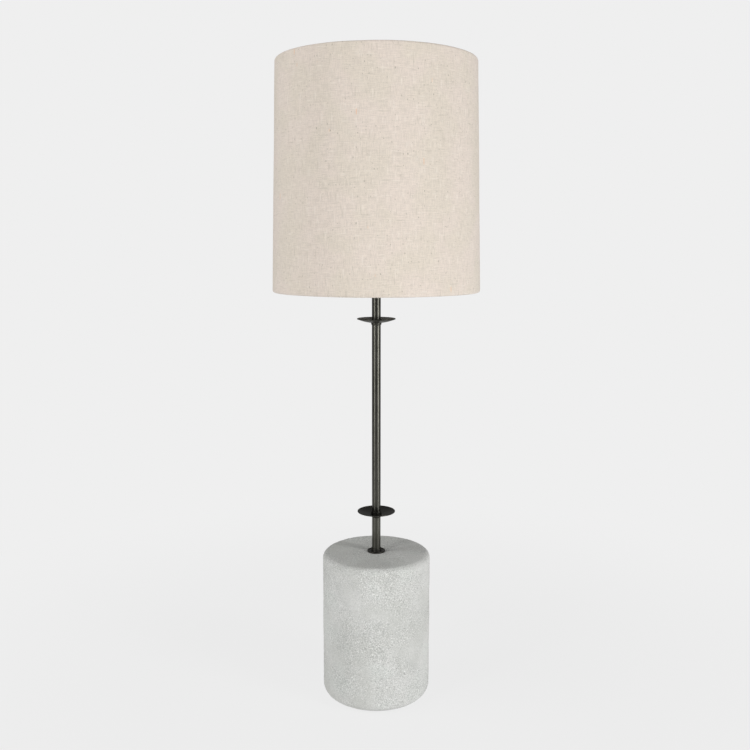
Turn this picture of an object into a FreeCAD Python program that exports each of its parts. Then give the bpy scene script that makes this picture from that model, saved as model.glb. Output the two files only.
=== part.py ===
"""Tall table lamp: a rough cast base, a thin stem with two saucers, and a linen drum shade.

Every function builds one sub-part in millimetres. The origin is on the table at the lamp's axis and
+Z points up. The back of the lamp, where the supply cord enters, faces +Y.
"""

import FreeCAD, Part
import math
import os

V = FreeCAD.Vector
Z_AXIS = V(0, 0, 1)
Y_AXIS = V(0, 1, 0)
ORIGIN = V(0, 0, 0)

# Driving dimensions
BASE_RADIUS = 62.5
BASE_HEIGHT = 170.6
FOOT_HEIGHT = 2.0
STEM_RADIUS = 5.0
SAUCER_RADIUS = 21.8
LOWER_SAUCER_RIM = 220.8
UPPER_SAUCER_RIM = 445.0
SHADE_BOTTOM = 476.0
SHADE_HEIGHT = 249.5
SHADE_BOTTOM_RADIUS = 116.0
SHADE_TOP_RADIUS = 110.0
HOLDER_SEAT = 536.0

FIT = 0.05  # radial clearance between pieces that are pushed or screwed together
LOOSE = 0.3  # radial clearance round pieces that are dropped into place

# Base
BASE_BOTTOM = FOOT_HEIGHT
BASE_TOP = BASE_BOTTOM + BASE_HEIGHT
BASE_TOP_ROUND = 6.2
BASE_BOTTOM_ROUND = 11.0
CHAMBER_RADIUS = 33.0
CHAMBER_TOP = 50.0
STEM_HOLE_RADIUS = 5.4
PLATE_RADIUS = 41.0
PLATE_THICKNESS = 2.0
PLATE_TOP = BASE_BOTTOM + PLATE_THICKNESS
COVER_SCREW_CIRCLE = 37.0
COVER_SCREW_ANGLES = (30, 150, 270)
COVER_SCREW_RADIUS = 1.5
COVER_SCREW_LENGTH = 9.0
COVER_HEAD_RADIUS = 3.0
COVER_HEAD_HEIGHT = 1.5
INSERT_RADIUS = 2.6
INSERT_LENGTH = 9.0
INSERT_THREAD = 7.0
DRIVE_WIDTH = 0.8  # slot in the head of a small screw
FOOT_RADIUS = 5.0
FOOT_CIRCLE = 46.4
FOOT_ANGLES = (45, 135, 225, 315)
FOOT_ROUND = 0.6
BUSH_HEIGHT = 24.0
BUSH_BODY_RADIUS = 6.0
BUSH_FLANGE_RADIUS = 8.6
BUSH_FLANGE_Y = 60.2
BUSH_BORE_RADIUS = 3.7
TURNED_EDGE = 0.8  # rounded rim of the bush and of the foot flange

# Stem and what clamps it
STEM_WALL = 1.0
STEM_BOTTOM = 38.0
STEM_TOP = 512.0
WASHER_RADIUS = 17.0
WASHER_THICKNESS = 2.5
SPRING_WASHER_RADIUS = 8.4
SPRING_WASHER_THICKNESS = 2.0
SPRING_WASHER_SPLIT = 1.2
TAG_THICKNESS = 0.8
TAG_WIDTH = 4.5
TAG_REACH = 20.0
TAG_TOP = CHAMBER_TOP - WASHER_THICKNESS - SPRING_WASHER_THICKNESS
NUT_ACROSS_FLATS = 14.0
STEM_NUT_HEIGHT = 5.0
LOCK_NUT_HEIGHT = 3.5
FLANGE_RADIUS = 10.4
FLANGE_THICKNESS = 1.6
COLLAR_RADIUS = 5.85
COLLAR_ABOVE_FLANGE = 3.0
COLLAR_CHAMFER = 0.4

# Saucers
SAUCER_DEPTH = 4.3
SAUCER_SHEET = 1.0
COLLAR_BELOW_DISH = 2.4
COLLAR_ABOVE_DISH = 4.9

# Terminal block in the base
BLOCK_LENGTH = 30.0
BLOCK_WIDTH = 16.0
BLOCK_HEIGHT = 12.0
BLOCK_Y = -14.0
BLOCK_CORNER = 1.5
POLE_PITCH = 9.6
SLEEVE_RADIUS = 2.6
SLEEVE_BOTTOM = PLATE_TOP + 1.0
SLEEVE_TOP = PLATE_TOP + 11.5
POLE_BORE_RADIUS = 1.7
POLE_SCREW_Z = PLATE_TOP + 8.5
POLE_SCREW_RADIUS = 1.25
POLE_HEAD_RADIUS = 1.8
WIRE_RADIUS = 1.1
WIRE_END = PLATE_TOP + 10.5  # where a wire ends inside its pole
WIRE_LANE = 1.4  # how far the two supply wires run from the stem's axis
WIRE_BEND = 2.4
EARTH_X = -18.6

# Lampholder
NECK_BOTTOM = 500.0
NECK_RADIUS = 8.0
NECK_HEIGHT = 7.0
DOME_HEIGHT = 12.0
CAP_RADIUS = 18.8
CAP_TOP = 528.0
CAP_WALL = 2.0
GRUB_RADIUS = 1.5
GRUB_Z = NECK_BOTTOM + 3.5
SKIRT_BOTTOM = 521.0
SKIRT_TOP = 562.0
SKIRT_GRIP_RADIUS = 21.5
SKIRT_GROOVES = 18
GROOVE_RADIUS = 0.7
GROOVE_LENGTH = 8.0
SEAT_RADIUS = 25.0
SEAT_THICKNESS = 2.5
THREAD_CREST = 19.8
THREAD_ROOT = 19.1
THREAD_PITCH = 2.5
SKIRT_BORE = 17.4
LIP_RADIUS = 15.2
LIP_THICKNESS = 3.0
INSULATOR_BOTTOM = 521.5
INSULATOR_BOSS_RADIUS = 14.0
TERMINAL_X = 9.0
TERMINAL_SIZE = (6.0, 7.0, 5.5)
TERMINAL_Z = 524.75
TERMINAL_SCREW_Z = 525.2
TERMINAL_SCREW_RADIUS = 1.15
TERMINAL_HEAD_RADIUS = 1.9
TERMINAL_HEAD_Y = -5.2
TERMINAL_SHANK_Y = -3.8
SHELL_BOTTOM = 535.2
SHELL_TOP = 557.0
SHELL_CREST = 14.4
SHELL_ROOT = 13.8
EDISON_PITCH = 3.63
LEAF_WIDTH = 4.0
LEAF_REACH = 9.0
LEAF_TOP_HALF = 2.4

# Bulb, measured up from its tip contact
BULB_TIP = 536.8
TIP_RADIUS = 4.7
TIP_HEIGHT = 1.1
BULB_INSULATOR_RADIUS = 11.6
BULB_CAP_BOTTOM = 4.5
BULB_CAP_TOP = 23.5
BULB_CAP_CREST = 13.1
BULB_CAP_ROOT = 12.45
HOUSING_WALL = 1.6
SPIGOT_INNER = 9.9
SPIGOT_OUTER = 11.9
SPIGOT_DEPTH = 8.0
HOUSING_NECK_RADIUS = 13.3
HOUSING_NECK_HEIGHT = 3.0
BULB_RIM = 62.0
BULB_CENTRE = 76.0
BULB_RADIUS = 30.0
DIFFUSER_WALL = 1.2
LIGHT_SOURCES = 10
LIGHT_SOURCE_CIRCLE = 15.0
SHEET = 0.4  # thin sheet metal of screw shell, cap and contact

# Shade
FABRIC = 0.8
LINER = 0.4
LAYER_GAP = 0.1
RING_WIRE = 1.5
TURN_IN = 1.2  # how far the fabric reaches past a wire ring on its inner side
ARM_ANGLES = (90, 210, 330)
FITTER_BORE = 21.0
FITTER_RADIUS = 29.5
FITTER_THICKNESS = 1.5
ARM_RUN_OUT = 8.0  # straight stretch of an arm at the bottom ring
ARM_RUN_IN = 7.0  # how far outside the fitter ring an arm bends level
ARM_OVERLAP = 2.6  # how far an arm reaches over the fitter ring
ARM_BEND = 7.0
ARM_WELD = 0.2  # how deep an arm is welded into the bottom ring
SHADE_WASHER_RADIUS = 25.5
SHADE_WASHER_THICKNESS = 0.8
RETAINER_BORE = THREAD_CREST + 0.15
RETAINER_HEIGHT = 11.0
RETAINER_RADIUS = 26.0
RETAINER_FLANGE = 2.4
RETAINER_GRIP = 24.4
RETAINER_FLUTES = 20
FLUTE_RADIUS = 1.3


# Shared helpers

def revolved(outline):
    """A solid of revolution about Z. The outline is (radius, height) points; a pair of points is an arc,
    given by a point on it and its end."""
    edges = []
    start = first = V(outline[0][0], 0, outline[0][1])
    for step in list(outline[1:]) + [outline[0]]:
        if isinstance(step[0], tuple):
            middle, end = (V(r, 0, z) for r, z in step)
            edges.append(Part.Arc(start, middle, end).toShape())
        else:
            end = V(step[0], 0, step[1])
            if end.distanceToPoint(start) > 1e-7:
                edges.append(Part.LineSegment(start, end).toShape())
        start = end
    assert start.distanceToPoint(first) < 1e-7
    return Part.Face(Part.Wire(edges)).revolve(ORIGIN, Z_AXIS, 360)


def ring(inner, outer, bottom, top):
    """A plain round ring about Z."""
    body = Part.makeCylinder(outer, top - bottom, V(0, 0, bottom))
    return body.cut(Part.makeCylinder(inner, top - bottom, V(0, 0, bottom)))


def disc(radius, bottom, top, x=0.0, y=0.0):
    """A plain round disc standing on the point (x, y, bottom)."""
    return Part.makeCylinder(radius, top - bottom, V(x, y, bottom))


def box(size, centre):
    """A box of that size about its centre."""
    x, y, z = (c - s / 2 for c, s in zip(centre, size))
    return Part.makeBox(size[0], size[1], size[2], V(x, y, z))


def polar(radius, degrees, z=0.0):
    """The point at that radius and angle about Z."""
    angle = math.radians(degrees)
    return V(radius * math.cos(angle), radius * math.sin(angle), z)


def arc_middle(centre, radius, start, end):
    """The middle point of an arc in the (radius, height) plane, between two angles in degrees."""
    angle = math.radians((start + end) / 2)
    return (centre[0] + radius * math.cos(angle), centre[1] + radius * math.sin(angle))


def hex_nut(bottom, height, across_flats, bore):
    """A hexagonal nut with both rims chamfered."""
    corner = across_flats / 2 / math.cos(math.radians(30))
    corners = [polar(corner, 60 * i, bottom) for i in range(7)]
    body = Part.Face(Part.makePolygon(corners)).extrude(V(0, 0, height))
    chamfer = corner - across_flats / 2
    barrel = revolved([
        (0, bottom), (across_flats / 2, bottom), (corner, bottom + chamfer * 0.6),
        (corner, bottom + height - chamfer * 0.6), (across_flats / 2, bottom + height), (0, bottom + height)])
    return body.common(barrel).cut(disc(bore, bottom, bottom + height))


def tube_along(points, radius, bend):
    """A round bar along straight runs that are joined by tangent arcs of the given bend radius."""
    edges = []
    start = points[0]
    for before, corner, after in zip(points, points[1:], points[2:]):
        along = (corner - before).normalize()
        onward = (after - corner).normalize()
        turn = along.getAngle(onward)
        setback = bend * math.tan(turn / 2)
        arc_start = corner - along * setback
        arc_end = corner + onward * setback
        inward = (onward - along).normalize()
        middle = corner + inward * (bend / math.cos(turn / 2) - bend)
        edges.append(Part.LineSegment(start, arc_start).toShape())
        edges.append(Part.Arc(arc_start, middle, arc_end).toShape())
        start = arc_end
    edges.append(Part.LineSegment(start, points[-1]).toShape())
    profile = Part.Wire([Part.makeCircle(radius, points[0], points[1] - points[0])])
    return Part.Wire(edges).makePipeShell([profile], True, False)


# Base

def concrete_base():
    top_round = BASE_RADIUS - BASE_TOP_ROUND
    low_round = BASE_RADIUS - BASE_BOTTOM_ROUND
    top_centre = (top_round, BASE_TOP - BASE_TOP_ROUND)
    low_centre = (low_round, BASE_BOTTOM + BASE_BOTTOM_ROUND)
    body = revolved([
        (PLATE_RADIUS + LOOSE, BASE_BOTTOM), (low_round, BASE_BOTTOM),
        (arc_middle(low_centre, BASE_BOTTOM_ROUND, 270, 360), (BASE_RADIUS, low_centre[1])),
        (BASE_RADIUS, top_centre[1]),
        (arc_middle(top_centre, BASE_TOP_ROUND, 0, 90), (top_round, BASE_TOP)),
        (STEM_HOLE_RADIUS, BASE_TOP), (STEM_HOLE_RADIUS, CHAMBER_TOP), (CHAMBER_RADIUS, CHAMBER_TOP),
        (CHAMBER_RADIUS, PLATE_TOP), (PLATE_RADIUS + LOOSE, PLATE_TOP)])
    for angle in COVER_SCREW_ANGLES:
        seat = polar(COVER_SCREW_CIRCLE, angle)
        body = body.cut(disc(INSERT_RADIUS + FIT, PLATE_TOP, PLATE_TOP + INSERT_LENGTH, seat.x, seat.y))
    centre = V(0, 0, BUSH_HEIGHT)
    passage = Part.makeCylinder(BUSH_BODY_RADIUS + FIT, BASE_RADIUS, centre, Y_AXIS)
    spot_face = Part.makeCylinder(
        BUSH_FLANGE_RADIUS + LOOSE, BASE_RADIUS, V(0, BUSH_FLANGE_Y, BUSH_HEIGHT), Y_AXIS)
    return body.cut(passage).cut(spot_face)


def base_cover_plate():
    plate = disc(PLATE_RADIUS, BASE_BOTTOM, PLATE_TOP)
    for angle in COVER_SCREW_ANGLES:
        seat = polar(COVER_SCREW_CIRCLE, angle, BASE_BOTTOM)
        sink = Part.makeCone(
            COVER_HEAD_RADIUS + 2 * FIT, COVER_SCREW_RADIUS + 2 * FIT, COVER_HEAD_HEIGHT, seat)
        hole = disc(COVER_SCREW_RADIUS + 3 * FIT, BASE_BOTTOM, PLATE_TOP, seat.x, seat.y)
        plate = plate.cut(sink).cut(hole)
    return plate


def cover_screws():
    screws = []
    for angle in COVER_SCREW_ANGLES:
        seat = polar(COVER_SCREW_CIRCLE, angle, BASE_BOTTOM)
        head = Part.makeCone(COVER_HEAD_RADIUS, COVER_SCREW_RADIUS, COVER_HEAD_HEIGHT, seat)
        shank = disc(COVER_SCREW_RADIUS, BASE_BOTTOM + COVER_HEAD_HEIGHT - 0.1,
                     BASE_BOTTOM + COVER_SCREW_LENGTH, seat.x, seat.y)
        screw = head.fuse(shank)
        reach = 1.4 * COVER_HEAD_RADIUS
        for size in ((reach, DRIVE_WIDTH, 2 * DRIVE_WIDTH), (DRIVE_WIDTH, reach, 2 * DRIVE_WIDTH)):
            screw = screw.cut(box(size, seat))
        screws.append(screw)
    return Part.makeCompound(screws)


def threaded_inserts():
    inserts = []
    for angle in COVER_SCREW_ANGLES:
        seat = polar(COVER_SCREW_CIRCLE, angle)
        sleeve = disc(INSERT_RADIUS, PLATE_TOP, PLATE_TOP + INSERT_LENGTH - LOOSE, seat.x, seat.y)
        bore = disc(COVER_SCREW_RADIUS + FIT, PLATE_TOP, PLATE_TOP + INSERT_THREAD, seat.x, seat.y)
        inserts.append(sleeve.cut(bore))
    return Part.makeCompound(inserts)


def rubber_feet():
    feet = []
    for angle in FOOT_ANGLES:
        seat = polar(FOOT_CIRCLE, angle)
        foot = disc(FOOT_RADIUS, 0, FOOT_HEIGHT, seat.x, seat.y)
        lower_rim = [e for e in foot.Edges if e.BoundBox.ZMax < FIT]
        feet.append(foot.makeFillet(FOOT_ROUND, lower_rim))
    return Part.makeCompound(feet)


def cord_bush():
    """A flanged bush through the wall of the base, along +Y."""
    inner_end = CHAMBER_RADIUS - 2
    round_centre = (BUSH_FLANGE_RADIUS - TURNED_EDGE, BASE_RADIUS - TURNED_EDGE)
    bush = revolved([
        (BUSH_BORE_RADIUS, inner_end), (BUSH_BODY_RADIUS, inner_end), (BUSH_BODY_RADIUS, BUSH_FLANGE_Y),
        (BUSH_FLANGE_RADIUS, BUSH_FLANGE_Y), (BUSH_FLANGE_RADIUS, round_centre[1]),
        (arc_middle(round_centre, TURNED_EDGE, 0, 90), (round_centre[0], BASE_RADIUS)),
        (BUSH_BORE_RADIUS, BASE_RADIUS)])
    bush.rotate(ORIGIN, V(1, 0, 0), -90)
    bush.translate(V(0, 0, BUSH_HEIGHT))
    return bush


# Stem

def stem_tube():
    return ring(STEM_RADIUS - STEM_WALL, STEM_RADIUS, STEM_BOTTOM, STEM_TOP)


def foot_flange():
    """The turned flange that shows where the stem enters the base, with a short collar."""
    top = BASE_TOP + FLANGE_THICKNESS
    collar_top = top + COLLAR_ABOVE_FLANGE
    rim_centre = (FLANGE_RADIUS - TURNED_EDGE, top - TURNED_EDGE)
    neck_centre = (COLLAR_RADIUS + TURNED_EDGE, top + TURNED_EDGE)
    return revolved([
        (STEM_RADIUS + FIT, BASE_TOP), (FLANGE_RADIUS, BASE_TOP), (FLANGE_RADIUS, rim_centre[1]),
        (arc_middle(rim_centre, TURNED_EDGE, 0, 90), (rim_centre[0], top)), (neck_centre[0], top),
        (arc_middle(neck_centre, TURNED_EDGE, 180, 270), (COLLAR_RADIUS, neck_centre[1])),
        (COLLAR_RADIUS, collar_top - COLLAR_CHAMFER), (COLLAR_RADIUS - COLLAR_CHAMFER, collar_top),
        (STEM_RADIUS + FIT, collar_top)])


def stem_washer():
    return ring(STEM_RADIUS + FIT, WASHER_RADIUS, CHAMBER_TOP - WASHER_THICKNESS, CHAMBER_TOP)


def stem_spring_washer():
    top = TAG_TOP + SPRING_WASHER_THICKNESS
    washer = ring(STEM_RADIUS + FIT, SPRING_WASHER_RADIUS, TAG_TOP, top)
    middle = (STEM_RADIUS + SPRING_WASHER_RADIUS) / 2
    split = box((middle, SPRING_WASHER_SPLIT, middle), (middle, 0, top))
    split.rotate(V(middle, 0, top), V(1, 0, 0), 25)
    return washer.cut(split)


def earth_tag():
    bottom = TAG_TOP - TAG_THICKNESS
    eye = disc(SPRING_WASHER_RADIUS, bottom, TAG_TOP)
    length = TAG_REACH - STEM_RADIUS - 1
    tongue = box((length, TAG_WIDTH, TAG_THICKNESS), (length / 2 - TAG_REACH, 0, TAG_TOP - TAG_THICKNESS / 2))
    return eye.fuse(tongue).removeSplitter().cut(disc(STEM_RADIUS + FIT, bottom, TAG_TOP))


def stem_nut():
    bottom = TAG_TOP - TAG_THICKNESS - STEM_NUT_HEIGHT
    return hex_nut(bottom, STEM_NUT_HEIGHT, NUT_ACROSS_FLATS, STEM_RADIUS + FIT)


def saucer(rim):
    """A shallow spun dish, hollow side up, with a hole for its collar."""
    sphere = (SAUCER_RADIUS ** 2 + SAUCER_DEPTH ** 2) / (2 * SAUCER_DEPTH)
    outer_centre = rim - SAUCER_DEPTH + sphere
    inner = sphere - SAUCER_SHEET
    hole = COLLAR_RADIUS + FIT

    def at(radius, r):
        return (r, outer_centre - math.sqrt(radius ** 2 - r ** 2))

    edge = SAUCER_RADIUS - SAUCER_SHEET * 0.5
    middle = (hole + edge) / 2
    return revolved([
        at(sphere, hole), (at(sphere, middle), at(sphere, edge)),
        (at((sphere + inner) / 2, SAUCER_RADIUS), at(inner, edge - SAUCER_SHEET * 0.4)),
        (at(inner, middle), at(inner, hole))])


def saucer_collar(rim):
    """The short sleeve that carries a saucer on the stem."""
    bottom = rim - SAUCER_DEPTH - COLLAR_BELOW_DISH
    top = rim - SAUCER_DEPTH + COLLAR_ABOVE_DISH
    return revolved([
        (STEM_RADIUS + FIT, bottom), (COLLAR_RADIUS - COLLAR_CHAMFER, bottom),
        (COLLAR_RADIUS, bottom + 2 * COLLAR_CHAMFER), (COLLAR_RADIUS, top - COLLAR_CHAMFER),
        (COLLAR_RADIUS - COLLAR_CHAMFER, top), (STEM_RADIUS + FIT, top)])


# Wiring inside the base and the stem

def block_poles():
    return [(POLE_PITCH * k, BLOCK_Y) for k in (-1, 0, 1)]


def terminal_block():
    """A three-pole connector standing on the cover plate, its poles open upwards."""
    block = box((BLOCK_LENGTH, BLOCK_WIDTH, BLOCK_HEIGHT), (0, BLOCK_Y, PLATE_TOP + BLOCK_HEIGHT / 2))
    upright = [e for e in block.Edges if e.BoundBox.ZLength > BLOCK_HEIGHT - FIT]
    block = block.makeFillet(BLOCK_CORNER, upright)
    for x, y in block_poles():
        seat = disc(SLEEVE_RADIUS + FIT, SLEEVE_BOTTOM, PLATE_TOP + BLOCK_HEIGHT, x, y)
        well = Part.makeCylinder(
            POLE_HEAD_RADIUS + 2 * FIT, BLOCK_WIDTH, V(x, y - BLOCK_WIDTH, POLE_SCREW_Z), Y_AXIS)
        block = block.cut(seat).cut(well)
    return block


def terminal_sleeves():
    sleeves = []
    for x, y in block_poles():
        sleeve = disc(SLEEVE_RADIUS, SLEEVE_BOTTOM, SLEEVE_TOP, x, y)
        bore = disc(POLE_BORE_RADIUS, SLEEVE_BOTTOM + 0.6, SLEEVE_TOP, x, y)
        start = V(x, y - SLEEVE_RADIUS - 1, POLE_SCREW_Z)
        hole = Part.makeCylinder(POLE_SCREW_RADIUS + FIT, SLEEVE_RADIUS + 1, start, Y_AXIS)
        sleeves.append(sleeve.cut(bore).cut(hole))
    return Part.makeCompound(sleeves)


def terminal_screws():
    screws = []
    for x, y in block_poles():
        tip, neck, face = y - 1.4, y - 5.0, y - 6.2
        shank = Part.makeCylinder(POLE_SCREW_RADIUS, tip - neck, V(x, neck, POLE_SCREW_Z), Y_AXIS)
        head = Part.makeCylinder(POLE_HEAD_RADIUS, neck - face, V(x, face, POLE_SCREW_Z), Y_AXIS)
        slot = box((2.2 * POLE_HEAD_RADIUS, DRIVE_WIDTH, DRIVE_WIDTH), (x, face, POLE_SCREW_Z))
        screws.append(head.fuse(shank).cut(slot))
    return Part.makeCompound(screws)


def supply_wire(pole, lane, terminal_x):
    """One insulated wire from a pole of the block, up inside the stem, to a lampholder terminal."""
    x, y = block_poles()[pole]
    route = [
        V(x, y, WIRE_END), V(x, y, STEM_BOTTOM - 14), V(lane, 0, STEM_BOTTOM - 4), V(lane, 0, STEM_TOP),
        V(terminal_x, 0, STEM_TOP + 5.5), V(terminal_x, 0, TERMINAL_Z - 0.75)]
    return tube_along(route, WIRE_RADIUS, WIRE_BEND)


def live_wire():
    return supply_wire(0, -WIRE_LANE, -TERMINAL_X)


def neutral_wire():
    return supply_wire(1, WIRE_LANE, TERMINAL_X)


def earth_wire():
    """The earth wire from the block's third pole, round under the stem, to the earth tag."""
    x, y = block_poles()[2]
    route = [V(x, y, WIRE_END), V(x, y, 22), V(16, -18, 31), V(-8, -19, 34),
             V(EARTH_X, -6, 38), V(EARTH_X, 0, TAG_TOP - TAG_THICKNESS - WIRE_RADIUS)]
    return tube_along(route, WIRE_RADIUS, WIRE_BEND)


# Lampholder

def holder_lock_nut():
    return hex_nut(NECK_BOTTOM - LOCK_NUT_HEIGHT, LOCK_NUT_HEIGHT, NUT_ACROSS_FLATS, STEM_RADIUS + FIT)


def holder_cap():
    """The domed lower half of the lampholder, screwed onto the stem."""
    dome_start = NECK_BOTTOM + NECK_HEIGHT
    dome_end = dome_start + DOME_HEIGHT
    inside = CAP_RADIUS - CAP_WALL
    outer_middle, inner_middle = (15.9, dome_start + 3.9), (14.1, dome_start + 6.6)
    cap = revolved([
        (STEM_RADIUS + FIT, NECK_BOTTOM), (NECK_RADIUS, NECK_BOTTOM), (NECK_RADIUS, dome_start),
        (outer_middle, (CAP_RADIUS, dome_end)), (CAP_RADIUS, CAP_TOP), (inside, CAP_TOP),
        (inside, dome_end + 0.8), (inner_middle, (NECK_RADIUS + 1, STEM_TOP)), (STEM_RADIUS + FIT, STEM_TOP)])
    return cap.cut(Part.makeCylinder(GRUB_RADIUS, 2 * NECK_RADIUS, V(0, 0, GRUB_Z), Y_AXIS))


def holder_grub_screw():
    start = STEM_RADIUS + FIT
    length = NECK_RADIUS - start - 0.25
    screw = Part.makeCylinder(GRUB_RADIUS - FIT, length, V(0, start, GRUB_Z), Y_AXIS)
    return screw.cut(box((2 * GRUB_RADIUS, DRIVE_WIDTH, DRIVE_WIDTH), (0, start + length, GRUB_Z)))


def holder_skirt():
    """The outer sleeve: a grip band, the seat that carries the shade, and the thread for its ring."""
    outline = [
        (CAP_RADIUS + FIT, SKIRT_BOTTOM), (SKIRT_GRIP_RADIUS - 0.6, SKIRT_BOTTOM),
        (SKIRT_GRIP_RADIUS, SKIRT_BOTTOM + 0.6), (SKIRT_GRIP_RADIUS, HOLDER_SEAT - SEAT_THICKNESS),
        (SEAT_RADIUS, HOLDER_SEAT - SEAT_THICKNESS), (SEAT_RADIUS, HOLDER_SEAT), (THREAD_ROOT, HOLDER_SEAT)]
    turns = int((SKIRT_TOP - HOLDER_SEAT - 1.5) / THREAD_PITCH)
    for i in range(turns):
        z = HOLDER_SEAT + 1.0 + i * THREAD_PITCH
        outline += [
            (THREAD_ROOT, z), (THREAD_CREST, z + 0.6), (THREAD_CREST, z + 1.2), (THREAD_ROOT, z + 1.8)]
    outline += [
        (THREAD_ROOT, SKIRT_TOP - 0.5), (THREAD_ROOT - 0.5, SKIRT_TOP), (LIP_RADIUS, SKIRT_TOP),
        (LIP_RADIUS, SKIRT_TOP - LIP_THICKNESS), (SKIRT_BORE, SKIRT_TOP - LIP_THICKNESS),
        (SKIRT_BORE, CAP_TOP), (CAP_RADIUS + FIT, CAP_TOP)]
    skirt = revolved(outline)
    for i in range(SKIRT_GROOVES):
        foot = polar(SKIRT_GRIP_RADIUS + 0.2, 360 * i / SKIRT_GROOVES, SKIRT_BOTTOM + 2)
        skirt = skirt.cut(Part.makeCylinder(GROOVE_RADIUS, GROOVE_LENGTH, foot))
    return skirt


def holder_insulator():
    """The moulded insert that carries the contacts, with a pocket for each terminal and its screw."""
    boss = disc(INSULATOR_BOSS_RADIUS, INSULATOR_BOTTOM, CAP_TOP)
    body = disc(SKIRT_BORE - FIT, CAP_TOP, SHELL_BOTTOM).fuse(boss).removeSplitter()
    width, depth, height = TERMINAL_SIZE
    for side in (-1, 1):
        x = side * TERMINAL_X
        pocket = box((width + 0.4, depth + 0.4, height + 0.7), (x, 0, TERMINAL_Z - 0.25))
        access = box((width + 0.4, INSULATOR_BOSS_RADIUS, height - 0.7), (x, -10, TERMINAL_SCREW_Z + 0.3))
        body = body.cut(pocket).cut(access)
    return body


def holder_terminals():
    blocks = []
    for side in (-1, 1):
        x = side * TERMINAL_X
        wire_hole = disc(WIRE_RADIUS + LOOSE, TERMINAL_Z - 3, TERMINAL_Z + 1.25, x, 0)
        screw_hole = Part.makeCylinder(TERMINAL_SCREW_RADIUS + FIT, 4, V(x, -4, TERMINAL_SCREW_Z), Y_AXIS)
        blocks.append(box(TERMINAL_SIZE, (x, 0, TERMINAL_Z)).cut(wire_hole).cut(screw_hole))
    return Part.makeCompound(blocks)


def holder_terminal_screws():
    screws = []
    for side in (-1, 1):
        face = V(side * TERMINAL_X, TERMINAL_HEAD_Y, TERMINAL_SCREW_Z)
        neck = V(side * TERMINAL_X, TERMINAL_SHANK_Y, TERMINAL_SCREW_Z)
        shank = Part.makeCylinder(TERMINAL_SCREW_RADIUS, 2.4, neck, Y_AXIS)
        head = Part.makeCylinder(TERMINAL_HEAD_RADIUS, neck.y - face.y, face, Y_AXIS)
        slot = box((2.2 * TERMINAL_HEAD_RADIUS, DRIVE_WIDTH, DRIVE_WIDTH), face)
        screws.append(head.fuse(shank).cut(slot))
    return Part.makeCompound(screws)


def corrugated(crest, root, bottom, top, wall, pitch):
    """A thin sleeve with round-topped ribs one thread pitch apart."""
    steps = int(round((top - bottom) / pitch * 2))
    heights = [bottom + (top - bottom) * i / steps for i in range(steps + 1)]
    outer = [(crest if i % 2 else root, z) for i, z in enumerate(heights)]
    inner = [(r - wall, z) for r, z in reversed(outer)]
    return revolved(outer + inner)


def screw_shell():
    return corrugated(SHELL_CREST, SHELL_ROOT, SHELL_BOTTOM, SHELL_TOP, SHEET, EDISON_PITCH)


def centre_contact():
    """A sprung leaf that presses up on the bulb's tip."""
    low, high = SHELL_BOTTOM + SHEET, BULB_TIP - 0.35
    top_line = [(LEAF_REACH, low), (LEAF_WIDTH, low), (LEAF_TOP_HALF, high), (-LEAF_TOP_HALF, high)]
    bottom_line = [(x, z - SHEET) for x, z in reversed(top_line)]
    corners = [V(x, -LEAF_WIDTH / 2, z) for x, z in top_line + bottom_line]
    return Part.Face(Part.makePolygon(corners + corners[:1])).extrude(V(0, LEAF_WIDTH, 0))


# Shade retainer

def shade_washer():
    bottom = HOLDER_SEAT + FITTER_THICKNESS + 0.1
    return ring(RETAINER_BORE, SHADE_WASHER_RADIUS, bottom, bottom + SHADE_WASHER_THICKNESS)


def retaining_ring():
    """The threaded ring that clamps the shade's fitter down, with a fluted grip."""
    bottom = HOLDER_SEAT + FITTER_THICKNESS + SHADE_WASHER_THICKNESS + 0.2
    top, grip_bottom = bottom + RETAINER_HEIGHT, bottom + RETAINER_FLANGE + 0.8
    nut = revolved([
        (RETAINER_BORE, bottom), (RETAINER_RADIUS, bottom), (RETAINER_RADIUS, bottom + RETAINER_FLANGE),
        (RETAINER_GRIP, grip_bottom), (RETAINER_GRIP, top - 0.8), (RETAINER_GRIP - 0.8, top),
        (RETAINER_BORE, top)])
    for i in range(RETAINER_FLUTES):
        foot = polar(RETAINER_GRIP + 0.5, 360 * i / RETAINER_FLUTES, grip_bottom)
        nut = nut.cut(Part.makeCylinder(FLUTE_RADIUS, RETAINER_HEIGHT, foot))
    return nut


# Bulb

def bulb_tip():
    top = BULB_TIP + TIP_HEIGHT
    return revolved([
        (0, BULB_TIP), (2.6, BULB_TIP), ((4.1, BULB_TIP + 0.25), (TIP_RADIUS, top)), (0, top)])


def bulb_insulator():
    bottom, shoulder = BULB_TIP + TIP_HEIGHT, BULB_TIP + BULB_CAP_BOTTOM
    return revolved([
        (0, bottom), (TIP_RADIUS, bottom), (TIP_RADIUS + 0.7, bottom + 0.6),
        (BULB_INSULATOR_RADIUS, shoulder), (BULB_INSULATOR_RADIUS, shoulder + 2), (0, shoulder + 2)])


def bulb_cap():
    bottom, top = BULB_TIP + BULB_CAP_BOTTOM, BULB_TIP + BULB_CAP_TOP
    return corrugated(BULB_CAP_CREST, BULB_CAP_ROOT, bottom, top, SHEET, EDISON_PITCH)


def bulb_rim_radius():
    return math.sqrt(BULB_RADIUS ** 2 - (BULB_CENTRE - BULB_RIM) ** 2)


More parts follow.
